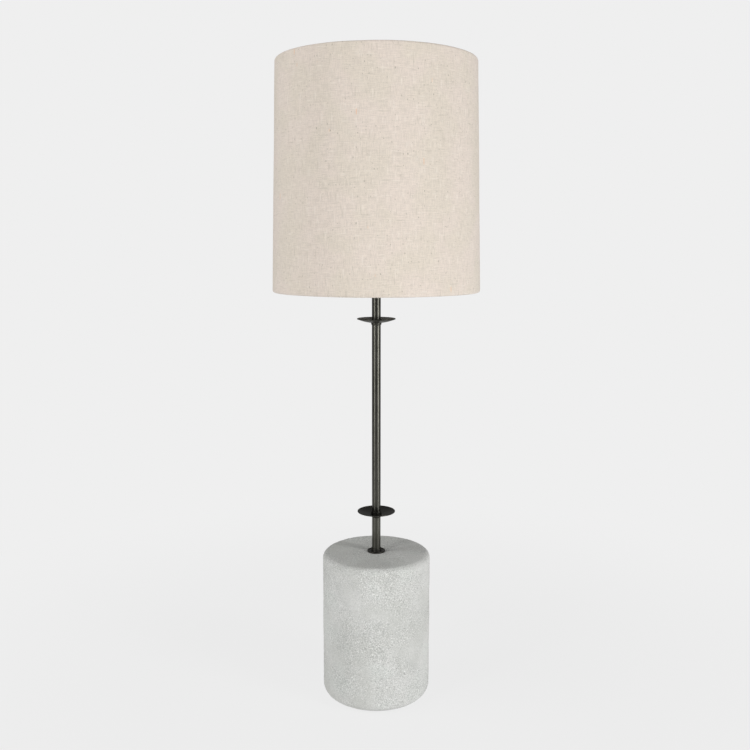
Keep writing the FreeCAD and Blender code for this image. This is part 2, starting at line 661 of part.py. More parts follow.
def bulb_housing():
    """The flared neck between cap and diffuser, hollow for the driver."""
    low, rim, out = BULB_TIP + BULB_CAP_TOP + 0.01, BULB_TIP + BULB_RIM, bulb_rim_radius()
    neck = low + HOUSING_NECK_HEIGHT
    outer_middle = (17.6, low + 20.5)
    inner_middle = (outer_middle[0] - 1.5, outer_middle[1] + 0.7)
    return revolved([
        (SPIGOT_INNER, low - SPIGOT_DEPTH), (SPIGOT_OUTER, low - SPIGOT_DEPTH), (SPIGOT_OUTER, low),
        (HOUSING_NECK_RADIUS, low), (HOUSING_NECK_RADIUS, neck), (outer_middle, (out, rim)),
        (out - HOUSING_WALL, rim), (inner_middle, (HOUSING_NECK_RADIUS - HOUSING_WALL, neck)),
        (SPIGOT_INNER, neck)])


def bulb_led_board():
    """The round board that carries the light sources, on the housing's rim."""
    rim = BULB_TIP + BULB_RIM
    board = disc(bulb_rim_radius() - 2.4, rim + FIT, rim + 1.6)
    for i in range(LIGHT_SOURCES):
        board = board.fuse(box((3, 3, 0.8), polar(LIGHT_SOURCE_CIRCLE, 360 * i / LIGHT_SOURCES, rim + 2.0)))
    return board


def bulb_diffuser():
    centre, rim = BULB_TIP + BULB_CENTRE, BULB_TIP + BULB_RIM
    inner = BULB_RADIUS - DIFFUSER_WALL
    inner_rim = math.sqrt(inner ** 2 - (centre - rim) ** 2)

    def on(radius, height):
        return (math.sqrt(radius ** 2 - height ** 2), centre + height)

    return revolved([
        (bulb_rim_radius(), rim), (on(BULB_RADIUS, 12), (0, centre + BULB_RADIUS)),
        (0, centre + inner), (on(inner, 11), (inner_rim, rim))])


# Shade

def shade_radius(z):
    """The outer radius of the fabric at a height."""
    share = (z - SHADE_BOTTOM) / SHADE_HEIGHT
    return SHADE_BOTTOM_RADIUS + (SHADE_TOP_RADIUS - SHADE_BOTTOM_RADIUS) * share


SHADE_TOP = SHADE_BOTTOM + SHADE_HEIGHT
ROLL = RING_WIRE + LAYER_GAP + FABRIC  # radius of the fabric where it is turned over a wire ring


def ring_centre(z):
    """Where a wire ring's section sits, inside the turned edge at the height z of its centre."""
    return (shade_radius(z) - ROLL, z)


TOP_RING = ring_centre(SHADE_TOP - ROLL)
BOTTOM_RING = ring_centre(SHADE_BOTTOM + ROLL)


def shade_fabric():
    """The drum of fabric, turned over the wire ring at both ends."""
    (top_r, top_z), (low_r, low_z) = TOP_RING, BOTTOM_RING
    inner = ROLL - FABRIC
    return revolved([
        (low_r + ROLL, low_z), (top_r + ROLL, top_z), ((top_r, top_z + ROLL), (top_r - ROLL, top_z)),
        (top_r - ROLL, top_z - TURN_IN), (top_r - inner, top_z - TURN_IN), (top_r - inner, top_z),
        ((top_r, top_z + inner), (top_r + inner, top_z)), (low_r + inner, low_z),
        ((low_r, low_z - inner), (low_r - inner, low_z)), (low_r - inner, low_z + TURN_IN),
        (low_r - ROLL, low_z + TURN_IN), (low_r - ROLL, low_z),
        ((low_r, low_z - ROLL), (low_r + ROLL, low_z))])


def shade_liner():
    """The stiff white lining that the fabric is laminated to."""
    low, high = BOTTOM_RING[1] + RING_WIRE + 0.7, TOP_RING[1] - RING_WIRE - 0.7
    outer = FABRIC + LAYER_GAP
    low_r, high_r = shade_radius(low) - outer, shade_radius(high) - outer
    return revolved([(low_r - LINER, low), (low_r, low), (high_r, high), (high_r - LINER, high)])


def wire_ring(centre):
    return Part.makeTorus(centre[0], RING_WIRE, V(0, 0, centre[1]))


def shade_top_ring():
    return wire_ring(TOP_RING)


def shade_bottom_ring():
    return wire_ring(BOTTOM_RING)


def fitter_ring():
    """The flat ring that drops over the lampholder and rests on its seat."""
    bottom = HOLDER_SEAT + FIT
    return ring(FITTER_BORE, FITTER_RADIUS, bottom, bottom + FITTER_THICKNESS)


def fitter_arms():
    """Three wires from the bottom ring up to the fitter ring."""
    top = HOLDER_SEAT + FITTER_THICKNESS + RING_WIRE
    low_r, low_z = BOTTOM_RING
    low = low_z + 2 * RING_WIRE - ARM_WELD
    arms = []
    for angle in ARM_ANGLES:
        route = [
            polar(low_r, angle, low), polar(low_r - ARM_RUN_OUT, angle, low),
            polar(FITTER_RADIUS + ARM_RUN_IN, angle, top), polar(FITTER_RADIUS - ARM_OVERLAP, angle, top)]
        arms.append(tube_along(route, RING_WIRE, ARM_BEND))
    return Part.makeCompound(arms)


PARTS = {
    "concrete_base": concrete_base,
    "base_cover_plate": base_cover_plate,
    "cover_screws": cover_screws,
    "threaded_inserts": threaded_inserts,
    "rubber_feet": rubber_feet,
    "cord_bush": cord_bush,
    "stem_tube": stem_tube,
    "foot_flange": foot_flange,
    "stem_washer": stem_washer,
    "stem_spring_washer": stem_spring_washer,
    "earth_tag": earth_tag,
    "stem_nut": stem_nut,
    "lower_saucer": lambda: saucer(LOWER_SAUCER_RIM),
    "lower_saucer_collar": lambda: saucer_collar(LOWER_SAUCER_RIM),
    "upper_saucer": lambda: saucer(UPPER_SAUCER_RIM),
    "upper_saucer_collar": lambda: saucer_collar(UPPER_SAUCER_RIM),
    "terminal_block": terminal_block,
    "terminal_sleeves": terminal_sleeves,
    "terminal_screws": terminal_screws,
    "live_wire": live_wire,
    "neutral_wire": neutral_wire,
    "earth_wire": earth_wire,
    "holder_lock_nut": holder_lock_nut,
    "holder_cap": holder_cap,
    "holder_grub_screw": holder_grub_screw,
    "holder_skirt": holder_skirt,
    "holder_insulator": holder_insulator,
    "holder_terminals": holder_terminals,
    "holder_terminal_screws": holder_terminal_screws,
    "screw_shell": screw_shell,
    "centre_contact": centre_contact,
    "shade_washer": shade_washer,
    "retaining_ring": retaining_ring,
    "bulb_tip": bulb_tip,
    "bulb_insulator": bulb_insulator,
    "bulb_cap": bulb_cap,
    "bulb_housing": bulb_housing,
    "bulb_led_board": bulb_led_board,
    "bulb_diffuser": bulb_diffuser,
    "shade_fabric": shade_fabric,
    "shade_liner": shade_liner,
    "shade_top_ring": shade_top_ring,
    "shade_bottom_ring": shade_bottom_ring,
    "fitter_arms": fitter_arms,
    "fitter_ring": fitter_ring,
}


def main():
    os.makedirs("parts", exist_ok=True)
    for name, build in PARTS.items():
        shape = build()
        volume = sum(solid.Volume for solid in shape.Solids)
        assert shape.isValid() and volume > 0, name
        shape.exportStep(f"parts/{name}.step")
        print(f"{name}: {len(shape.Solids)} solids, {volume:.1f} mm3")


main()
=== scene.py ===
"""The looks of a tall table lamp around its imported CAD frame: a rough cast base, a dark bronze stem with
two saucers, and a linen drum shade over a lampholder and bulb.

Lengths are in metres, in the frame of the CAD."""

import math

import bmesh
import bpy
import numpy as np
from mathutils import Matrix, Vector, noise


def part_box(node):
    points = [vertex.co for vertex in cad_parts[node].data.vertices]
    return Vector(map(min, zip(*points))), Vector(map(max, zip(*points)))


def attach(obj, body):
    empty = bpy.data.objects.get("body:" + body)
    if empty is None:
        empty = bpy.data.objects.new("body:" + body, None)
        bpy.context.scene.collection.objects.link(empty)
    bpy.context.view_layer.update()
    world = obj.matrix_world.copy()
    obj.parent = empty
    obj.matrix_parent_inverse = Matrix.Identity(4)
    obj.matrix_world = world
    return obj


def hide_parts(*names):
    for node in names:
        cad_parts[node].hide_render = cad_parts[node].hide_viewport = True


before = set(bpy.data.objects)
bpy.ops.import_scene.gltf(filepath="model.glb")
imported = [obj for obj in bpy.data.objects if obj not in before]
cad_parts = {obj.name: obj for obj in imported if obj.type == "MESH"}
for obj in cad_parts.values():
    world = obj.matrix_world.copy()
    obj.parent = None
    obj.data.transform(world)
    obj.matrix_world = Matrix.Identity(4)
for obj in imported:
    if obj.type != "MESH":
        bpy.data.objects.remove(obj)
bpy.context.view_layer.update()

MM = 0.001
TURN = 2 * math.pi


# Mesh helpers

def softened(outline, radius, cuts=4):
    """A closed outline with every corner rounded off, by up to that radius."""
    points = [Vector(p) for p in outline]
    rounded = []
    for before, corner, after in zip(points[-1:] + points[:-1], points, points[1:] + points[:1]):
        back, onward = before - corner, after - corner
        reach = min(radius, 0.45 * back.length, 0.45 * onward.length)
        start, end = corner + back.normalized() * reach, corner + onward.normalized() * reach
        for i in range(cuts + 1):
            t = i / cuts
            rounded.append(start * (1 - t) ** 2 + corner * (2 * t * (1 - t)) + end * t ** 2)
    return rounded


def divided(outline, step, closed=True):
    """The outline with no stretch longer than step."""
    points = [Vector(p) for p in outline]
    fine = []
    for start, end in zip(points, points[1:] + points[:1] if closed else points[1:]):
        count = max(1, math.ceil((end - start).length / step - 1e-6))
        fine += [start.lerp(end, i / count) for i in range(count)]
    return fine if closed else fine + [points[-1]]


def arc(centre, radius, start, end, cuts):
    """Points along an arc in the (radius, height) plane, between two angles in degrees."""
    angles = [math.radians(start + (end - start) * i / cuts) for i in range(cuts + 1)]
    return [(centre[0] + radius * math.cos(a), centre[1] + radius * math.sin(a)) for a in angles]


def mesh_piece(name, points, faces, material):
    """A smooth-shaded object made of those points and faces."""
    mesh = bpy.data.meshes.new(name)
    mesh.from_pydata(points, [], faces)
    mesh.validate()
    mesh.shade_smooth()
    mesh.materials.append(material)
    piece = bpy.data.objects.new(name, mesh)
    bpy.context.scene.collection.objects.link(piece)
    return piece


def grid_faces(rows, columns, wrap_rows, wrap_columns):
    """Quads over a grid of points, in the order of points[row * columns + column]."""
    faces = []
    for i in range(rows if wrap_rows else rows - 1):
        for j in range(columns if wrap_columns else columns - 1):
            k, m = (i + 1) % rows, (j + 1) % columns
            faces.append((i * columns + j, i * columns + m, k * columns + m, k * columns + j))
    return faces


def lathe(name, outline, steps, material, shape=None, closed=True):
    """An outline of (radius, height) points turned about Z.

    shape(radius, angle, height) may return another radius for a point."""
    points = []
    for i in range(steps):
        angle = TURN * i / steps
        for radius, height in outline:
            r = shape(radius, angle, height) if shape else radius
            points.append((r * math.cos(angle), r * math.sin(angle), height))
    faces = grid_faces(steps, len(outline), True, closed)
    piece = mesh_piece(name, points, faces, material)
    clean_mesh(piece)
    return piece


def clean_mesh(piece):
    """Merges points that coincide, as on a lathe's axis, and turns every face outward."""
    shape = bmesh.new()
    shape.from_mesh(piece.data)
    bmesh.ops.remove_doubles(shape, verts=shape.verts, dist=1e-6)
    bmesh.ops.recalc_face_normals(shape, faces=shape.faces)
    shape.to_mesh(piece.data)
    shape.free()


def tube(name, route, radius, sides, material):
    """A round bar along a route of points, closed at both ends."""
    line = [Vector(p) for p in route]
    points, up = [], Vector((0, 0, 1))
    for i, centre in enumerate(line):
        ahead = (line[min(i + 1, len(line) - 1)] - line[max(i - 1, 0)]).normalized()
        side = ahead.cross(up if abs(ahead.z) < 0.95 else Vector((0, 1, 0))).normalized()
        other = ahead.cross(side)
        for j in range(sides):
            angle = TURN * j / sides
            points.append(centre + (side * math.cos(angle) + other * math.sin(angle)) * radius)
    faces = grid_faces(len(line), sides, False, True)
    faces += [tuple(range(sides)), tuple(range(len(points) - sides, len(points)))]
    piece = mesh_piece(name, points, faces, material)
    clean_mesh(piece)
    return piece


def bent(corners, radius, cuts=8):
    """A route of straight runs with a round bend of about that radius at each corner."""
    line = [Vector(p) for p in corners]
    route = [line[0]]
    for before, corner, after in zip(line, line[1:], line[2:]):
        start = corner + (before - corner).normalized() * radius
        end = corner + (after - corner).normalized() * radius
        for i in range(cuts + 1):
            t = i / cuts
            route.append(start * (1 - t) ** 2 + corner * (2 * t * (1 - t)) + end * t ** 2)
    return route + [line[-1]]


def joined(name, pieces):
    """Several pieces of one material as one."""
    shape = bmesh.new()
    for piece in pieces:
        shape.from_mesh(piece.data)
    mesh = bpy.data.meshes.new(name)
    shape.to_mesh(mesh)
    shape.free()
    mesh.materials.append(pieces[0].data.materials[0])
    mesh.shade_smooth()
    for piece in pieces:
        bpy.data.objects.remove(piece)
    whole = bpy.data.objects.new(name, mesh)
    bpy.context.scene.collection.objects.link(whole)
    return whole


def placed(piece, body, slot, *replaced):
    """The piece rides on a body and stands for those CAD nodes; slot is not used."""
    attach(piece, body)
    if replaced:
        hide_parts(*replaced)
    return piece


# Material helpers

class Finish:
    """One material's node tree."""

    def __init__(self, name, **settings):
        self.material = bpy.data.materials.new(name)
        self.material.use_nodes = True
        self.tree = self.material.node_tree
        self.shader = self.tree.nodes["Principled BSDF"]
        for socket, value in settings.items():
            self.shader.inputs[socket.replace("_", " ")].default_value = value
        self.place = self.node("ShaderNodeTexCoord").outputs["Object"]

    def node(self, kind, inputs=(), **settings):
        """A new node with its settings, and its inputs by name or number as values or sockets."""
        made = self.tree.nodes.new(kind)
        for key, value in settings.items():
            setattr(made, key, value)
        for key, value in dict(inputs).items():
            if isinstance(value, bpy.types.NodeSocket):
                self.tree.links.new(value, made.inputs[key])
            else:
                made.inputs[key].default_value = value
        return made

    def math(self, operation, a, b=0.0):
        return self.node("ShaderNodeMath", {0: a, 1: b}, operation=operation).outputs[0]

    def scaled(self, vector, x, y, z):
        """A vector stretched by one factor along each axis."""
        stretch = self.node("ShaderNodeVectorMath", {0: vector, 1: (x, y, z)}, operation="MULTIPLY")
        return stretch.outputs[0]

    def noise(self, vector, scale, detail=2.0, roughness=0.5):
        """Noise from 0 to 1 at so many cells to the metre."""
        made = self.node("ShaderNodeTexNoise", {"Vector": vector, "Scale": scale, "Detail": detail,
                                                "Roughness": roughness})
        return made.outputs["Fac"]

    def ramp(self, value, low, high, start=0.0, end=1.0):
        """A value that goes smoothly from start to end as the input goes from low to high."""
        made = self.node("ShaderNodeMapRange", {"Value": value, "From Min": low, "From Max": high,
                                                "To Min": start, "To Max": end},
                         interpolation_type="SMOOTHSTEP")
        return made.outputs[0]

    def mixed(self, share, first, second, blend_type="MIX"):
        """Two colours mixed. A colour is a socket or three numbers."""
        made = self.node("ShaderNodeMix", data_type="RGBA", blend_type=blend_type)
        for key, value in (("Factor_Float", share), ("A_Color", first), ("B_Color", second)):
            socket = next(s for s in made.inputs if s.identifier == key)
            if isinstance(value, bpy.types.NodeSocket):
                self.tree.links.new(value, socket)
            else:
                socket.default_value = (*value, 1.0) if isinstance(value, tuple) else value
        return next(s for s in made.outputs if s.identifier == "Result_Color")

    def colour(self, socket):
        self.tree.links.new(socket, self.shader.inputs["Base Color"])

    def roughness(self, socket):
        self.tree.links.new(socket, self.shader.inputs["Roughness"])

    def bump(self, height, distance, strength=1.0):
        """Relief of that many metres."""
        made = self.node("ShaderNodeBump", {"Height": height, "Distance": distance, "Strength": strength})
        self.tree.links.new(made.outputs["Normal"], self.shader.inputs["Normal"])


def unrolled(finish, radius):
    """(distance round the axis, height) of a point, in metres, cut along the back of the lamp."""
    axes = finish.node("ShaderNodeSeparateXYZ", {0: finish.place}).outputs
    angle = finish.math("ARCTAN2", axes[0], finish.math("MULTIPLY", axes[1], -1.0))
    return finish.math("MULTIPLY", angle, radius), axes[2]


def linen():
    """Oatmeal linen: fine warp and weft with pale slubs, small dark flecks and a stray coloured thread."""
    finish = Finish("linen", Roughness=0.92, Sheen_Weight=0.2, Sheen_Roughness=0.5)
    around, height = unrolled(finish, SHADE_RADIUS)
    flat = finish.node("ShaderNodeCombineXYZ", {0: around, 1: height, 2: 0.0}).outputs[0]
    upright, level = (1.0, 0.13, 1.0), (0.12, 1.0, 1.0)

    warp = finish.noise(finish.scaled(flat, *upright), 1000, detail=1.0)
    weft = finish.noise(finish.scaled(flat, *level), 1000, detail=1.0)
    nap = finish.noise(flat, 1150, detail=1.0)
    threads = finish.math("ADD", finish.math("ADD", warp, weft), finish.math("SUBTRACT", nap, 0.5))
    slub_up = finish.ramp(finish.noise(finish.scaled(flat, *upright), 620, detail=0.0), 0.66, 0.78)
    slub_across = finish.ramp(finish.noise(finish.scaled(flat, *level), 620, detail=0.0), 0.68, 0.80)
    slubs = finish.math("MAXIMUM", slub_up, slub_across)
    thin_up = finish.ramp(finish.noise(finish.scaled(flat, *upright), 540, detail=0.0), 0.32, 0.21)
    thin_across = finish.ramp(finish.noise(finish.scaled(flat, *level), 540, detail=0.0), 0.31, 0.20)
    thin = finish.math("MAXIMUM", thin_up, thin_across)
    fleck = finish.ramp(finish.noise(finish.scaled(flat, 1.0, 0.55, 1.0), 620, detail=0.0), 0.74, 0.81)
    cluster = finish.ramp(finish.noise(flat, 45, detail=1.0), 0.36, 0.60, 0.25, 1.0)
    stray = finish.ramp(finish.noise(finish.scaled(flat, 1.0, 0.15, 1.0), 420, detail=0.0), 0.868, 0.885)
    patches = finish.ramp(finish.noise(flat, 24, detail=2.0), 0.38, 0.62)

    tone = finish.mixed(patches, (0.640, 0.574, 0.495), (0.662, 0.584, 0.517))
    light = finish.ramp(threads, 0.72, 1.28, 0.925, 1.065)
    weave = finish.node("ShaderNodeCombineColor", {0: light, 1: light, 2: light}).outputs[0]
    tone = finish.mixed(1.0, tone, weave, "MULTIPLY")
    tone = finish.mixed(finish.math("MULTIPLY", slubs, 0.24), tone, (0.84, 0.79, 0.72))
    tone = finish.mixed(finish.math("MULTIPLY", thin, 0.24), tone, (0.40, 0.36, 0.29))
    tone = finish.mixed(finish.math("MULTIPLY", fleck, finish.math("MULTIPLY", cluster, 0.62)), tone,
                        (0.24, 0.21, 0.16))
    tone = finish.mixed(finish.math("MULTIPLY", stray, 0.6), tone, (0.74, 0.42, 0.20))
    finish.colour(tone)

    up = finish.math("SINE", finish.math("MULTIPLY", around, TURN / THREAD))
    across = finish.math("SINE", finish.math("MULTIPLY", height, TURN / THREAD))
    relief = finish.math("ADD", finish.math("MULTIPLY", finish.math("MULTIPLY", up, across), 0.2), threads)
    relief = finish.math("ADD", relief, finish.math("MULTIPLY", finish.math("SUBTRACT", slubs, thin), 0.4))
    finish.bump(relief, 0.12 * MM, 0.5)
    return finish.material


def lining():
    """Smooth white film with a faint grain."""
    finish = Finish("lining", Roughness=0.55)
    around, height = unrolled(finish, SHADE_RADIUS)
    flat = finish.node("ShaderNodeCombineXYZ", {0: around, 1: height, 2: 0.0}).outputs[0]
    grain = finish.noise(finish.scaled(flat, 1.0, 0.2, 1.0), 900, detail=3.0)
    cloudy = finish.noise(flat, 30, detail=3.0)
    tone = finish.mixed(finish.ramp(cloudy, 0.3, 0.7), (0.80, 0.775, 0.73), (0.86, 0.84, 0.80))
    finish.colour(finish.mixed(finish.ramp(grain, 0.35, 0.65, 0.0, 0.12), tone, (0.70, 0.67, 0.62)))
    finish.roughness(finish.ramp(grain, 0.3, 0.7, 0.45, 0.65))
    finish.bump(grain, 0.03 * MM)
    return finish.material


def concrete():
    """Rough cast concrete: pale grey and clouded, grainy in stretches, with fine pits painted dark as the
    shade inside them.
    """
    finish = Finish("concrete", Roughness=0.95)
    cloud = finish.noise(finish.place, 15, detail=3.0, roughness=0.55)
    patch = finish.noise(finish.place, 40, detail=2.0)
    rough_skin = finish.ramp(finish.noise(finish.place, 22, detail=2.0), 0.36, 0.58, 0.42, 1.0)
    grain = finish.noise(finish.place, 940, detail=2.0, roughness=0.7)
    speck = finish.noise(finish.place, 1250, detail=0.0)
    tint = finish.noise(finish.place, 30, detail=1.0)
    tone = finish.mixed(finish.ramp(cloud, 0.35, 0.65), (0.480, 0.486, 0.463), (0.560, 0.562, 0.545))
    tone = finish.mixed(finish.ramp(patch, 0.52, 0.72, 0.0, 0.35), tone, (0.43, 0.44, 0.425))
    tone = finish.mixed(finish.ramp(tint, 0.5, 0.7, 0.0, 0.3), tone, (0.49, 0.525, 0.49))
    pale = finish.math("MULTIPLY", finish.ramp(grain, 0.53, 0.66, 0.0, 0.78), rough_skin)
    tone = finish.mixed(pale, tone, (0.80, 0.80, 0.785))
    dark = finish.math("MULTIPLY", finish.ramp(grain, 0.46, 0.33, 0.0, 0.8), rough_skin)
    tone = finish.mixed(dark, tone, (0.24, 0.245, 0.235))
    # The fine pits are painted near black: painted shade inside them, over the dip their bump gives.
    painted_pit_shade = finish.math("MULTIPLY", finish.ramp(speck, 0.70, 0.80, 0.0, 0.6), rough_skin)
    tone = finish.mixed(painted_pit_shade, tone, (0.15, 0.155, 0.15))
    finish.colour(tone)
    relief = finish.math("MULTIPLY", finish.math("SUBTRACT", grain, painted_pit_shade), rough_skin)
    finish.bump(relief, 0.5 * MM, 0.8)
    finish.roughness(finish.ramp(grain, 0.3, 0.7, 1.0, 0.86))
    return finish.material


MARK_SPREAD = 0.0006  # how much a turned mark changes in a radian round the axis


def metal(name, dark, pale, brushed, rough=(0.26, 0.42), fineness=2600):
    """Brushed metal. brushed is the scale of its marks along X, Y and Z, or "turned" for marks round Z."""
    finish = Finish(name, Metallic=1.0)
    if brushed == "turned":
        axes = finish.node("ShaderNodeSeparateXYZ", {0: finish.place}).outputs
        radius = finish.math("SQRT", finish.math("ADD", finish.math("MULTIPLY", axes[0], axes[0]),
                                                 finish.math("MULTIPLY", axes[1], axes[1])))
        angle = finish.math("ARCTAN2", axes[0], finish.math("MULTIPLY", axes[1], -1.0))
        drawn_out = finish.math("MULTIPLY", angle, MARK_SPREAD)
        marks = finish.node("ShaderNodeCombineXYZ", {0: radius, 1: drawn_out, 2: axes[2]}).outputs[0]
    else:
        marks = finish.scaled(finish.place, *brushed)
    brush = finish.noise(marks, fineness, detail=3.0)
    cloud = finish.noise(finish.place, 90, detail=3.0)
    share = finish.math("ADD", finish.math("MULTIPLY", brush, 0.7), finish.math("MULTIPLY", cloud, 0.3))
    finish.colour(finish.mixed(finish.ramp(share, 0.35, 0.65), dark, pale))
    finish.roughness(finish.ramp(share, 0.35, 0.65, *rough))
    finish.bump(brush, 0.012 * MM)
    return finish.material


def moulded(name, dark, pale, rough=(0.35, 0.5), grain=1800, relief=0.02, **settings):
    """Moulded plastic, rubber or ceramic: a slightly clouded colour with a fine surface grain."""
    finish = Finish(name, **settings)
    fine = finish.noise(finish.place, grain, detail=2.0)
    cloud = finish.noise(finish.place, 60, detail=3.0)
    finish.colour(finish.mixed(finish.ramp(cloud, 0.3, 0.7), dark, pale))
    finish.roughness(finish.ramp(fine, 0.3, 0.7, *rough))
    finish.bump(fine, relief * MM)
    return finish.material


def earth_insulation():
    """Green insulation with a yellow stripe that winds round it."""
    finish = Finish("green_yellow", Roughness=0.45)
    axes = finish.node("ShaderNodeSeparateXYZ", {0: finish.place}).outputs
    bands = finish.math("SINE", finish.math("MULTIPLY", finish.math("ADD", axes[0], axes[2]), 900.0))
    finish.colour(finish.mixed(finish.ramp(bands, 0.0, 0.3), (0.07, 0.36, 0.06), (0.75, 0.62, 0.04)))
    finish.bump(finish.noise(finish.place, 1500), 0.02 * MM)
    return finish.material


# Sizes, read from the frame

SHADE_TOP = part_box("shade_fabric")[1].z
liner_low, liner_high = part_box("shade_liner")
TOP_WIRE_LOW, TOP_WIRE_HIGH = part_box("shade_top_ring")
BOTTOM_WIRE_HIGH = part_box("shade_bottom_ring")[1]
WIRE = (TOP_WIRE_HIGH.z - TOP_WIRE_LOW.z) / 2
CLOTH = 0.8 * MM
ROLL = SHADE_TOP - TOP_WIRE_HIGH.z + WIRE  # radius of the cloth where it is turned over a wire ring
TOP_WIRE_R = TOP_WIRE_HIGH.x - WIRE
BOTTOM_WIRE_R = BOTTOM_WIRE_HIGH.x - WIRE
TOP_WIRE_Z = TOP_WIRE_HIGH.z - WIRE
BOTTOM_WIRE_Z = BOTTOM_WIRE_HIGH.z - WIRE
SHADE_RADIUS = (TOP_WIRE_R + BOTTOM_WIRE_R) / 2 + ROLL
THREAD = 0.55 * MM

LINEN = linen()
LINING = lining()
CONCRETE = concrete()
STEM_BRONZE = metal("bronze_drawn", (0.073, 0.071, 0.059), (0.112, 0.110, 0.096), (1.0, 1.0, 0.004),
                    (0.27, 0.36))
# A darker copy of the stem's bronze for the foot, saucers and collars: painted shade standing for their dim
# dish hollows.
SHADE_DARKENED_BRONZE = metal("bronze_turned_painted_darker", (0.040, 0.039, 0.034), (0.075, 0.073, 0.064), "turned",
                      (0.34, 0.48))
ZINC = metal("zinc", (0.50, 0.51, 0.54), (0.70, 0.71, 0.73), (1.0, 0.06, 1.0), (0.28, 0.45), 1800)
TURNED_ZINC = metal("zinc_turned", (0.48, 0.49, 0.52), (0.68, 0.69, 0.71), "turned", (0.25, 0.42))
BRASS = metal("brass", (0.55, 0.38, 0.15), (0.74, 0.56, 0.27), (1.0, 0.1, 1.0), (0.22, 0.38), 1800)
NICKEL = metal("nickel", (0.55, 0.52, 0.47), (0.72, 0.69, 0.64), "turned", (0.16, 0.30))
RUBBER = moulded("rubber", (0.018, 0.018, 0.018), (0.035, 0.034, 0.033), (0.72, 0.9), 2200, 0.04)
NYLON = moulded("nylon", (0.74, 0.73, 0.69), (0.82, 0.81, 0.77), (0.45, 0.6), Subsurface_Weight=0.05)
BROWN = moulded("brown_insulation", (0.13, 0.055, 0.025), (0.18, 0.08, 0.04), (0.4, 0.55))
BLUE = moulded("blue_insulation", (0.03, 0.11, 0.36), (0.05, 0.15, 0.45), (0.4, 0.55))
GREEN = earth_insulation()
PHENOLIC = moulded("phenolic", (0.012, 0.011, 0.011), (0.028, 0.026, 0.025), (0.28, 0.42), 2600, 0.012)
PORCELAIN = moulded("porcelain", (0.76, 0.75, 0.71), (0.85, 0.84, 0.80), (0.12, 0.25), 700, 0.02)
CONTACT_GLASS = moulded("contact_glass", (0.012, 0.010, 0.014), (0.03, 0.026, 0.034), (0.1, 0.2), 900)
HOUSING = moulded("bulb_housing_white", (0.78, 0.78, 0.77), (0.84, 0.84, 0.83), (0.28, 0.4), 2400, 0.01)
BOARD = moulded("board_white", (0.74, 0.75, 0.72), (0.82, 0.82, 0.80), (0.3, 0.45), 1200)
OPAL = moulded("opal", (0.86, 0.86, 0.84), (0.90, 0.90, 0.885), (0.32, 0.42), 1500, 0.01,
               Subsurface_Weight=0.25, Subsurface_Radius=(0.01, 0.01, 0.01))
POWDER_COAT = moulded("powder_coat", (0.74, 0.74, 0.73), (0.82, 0.82, 0.81), (0.38, 0.55), 2400, 0.015)

CAD_FINISHES = {
    "base_cover_plate": ZINC, "cover_screws": TURNED_ZINC, "threaded_inserts": BRASS, "rubber_feet": RUBBER,
    "cord_bush": RUBBER, "stem_washer": TURNED_ZINC, "stem_spring_washer": ZINC, "earth_tag": BRASS,
    "stem_nut": ZINC, "terminal_block": NYLON, "terminal_sleeves": BRASS, "terminal_screws": ZINC,
    "live_wire": BROWN, "neutral_wire": BLUE, "earth_wire": GREEN, "holder_lock_nut": ZINC,
    "holder_grub_screw": NYLON, "holder_insulator": PORCELAIN, "holder_terminals": BRASS,
    "holder_terminal_screws": ZINC, "screw_shell": BRASS, "centre_contact": BRASS,
    "shade_washer": TURNED_ZINC,
    "bulb_insulator": CONTACT_GLASS, "bulb_tip": BRASS, "bulb_led_board": BOARD,
    "shade_top_ring": POWDER_COAT, "shade_bottom_ring": POWDER_COAT,
}


def finish_cad_nodes():
    """Gives each carried-over CAD node its material."""
    for node, material in CAD_FINISHES.items():
        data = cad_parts[node].data
        data.materials.clear()
        data.materials.append(material)


# Shade

SEAM_ANGLE = math.pi / 2  # the cloth's lap is at the back of the lamp
LAP = math.radians(5.0)


def cloth_outline():
    """The cloth's outer face, from its tucked edge inside the top to the one inside the bottom."""
    tuck, edge_out = 1.9 * MM, 0.7 * MM  # the cut edge, past the roll and outside the wire's line
    turn, turn_in = 0.2 * MM, 1.2 * MM  # where the cloth turns back, past the roll and inside that line
    wrap = 205  # degrees of the wire that the cloth goes round
    top = [(TOP_WIRE_R + edge_out, TOP_WIRE_Z - ROLL - tuck),
           (TOP_WIRE_R - turn_in, TOP_WIRE_Z - ROLL - turn)]
    top += arc((TOP_WIRE_R, TOP_WIRE_Z), ROLL, wrap, 0, 14)
    low = arc((BOTTOM_WIRE_R, BOTTOM_WIRE_Z), ROLL, 0, -wrap, 14)
    low += [(BOTTOM_WIRE_R - turn_in, BOTTOM_WIRE_Z + ROLL + turn),
            (BOTTOM_WIRE_R + edge_out, BOTTOM_WIRE_Z + ROLL + tuck)]
    return divided(top + low, 3.0 * MM, closed=False)


def outline_normals(outline):
    """The direction to the left of travel at each point of an open outline."""
    normals = []
    for i in range(len(outline)):
        along = (outline[min(i + 1, len(outline) - 1)] - outline[max(i - 1, 0)]).normalized()
        normals.append(Vector((-along.y, along.x)))
    return normals


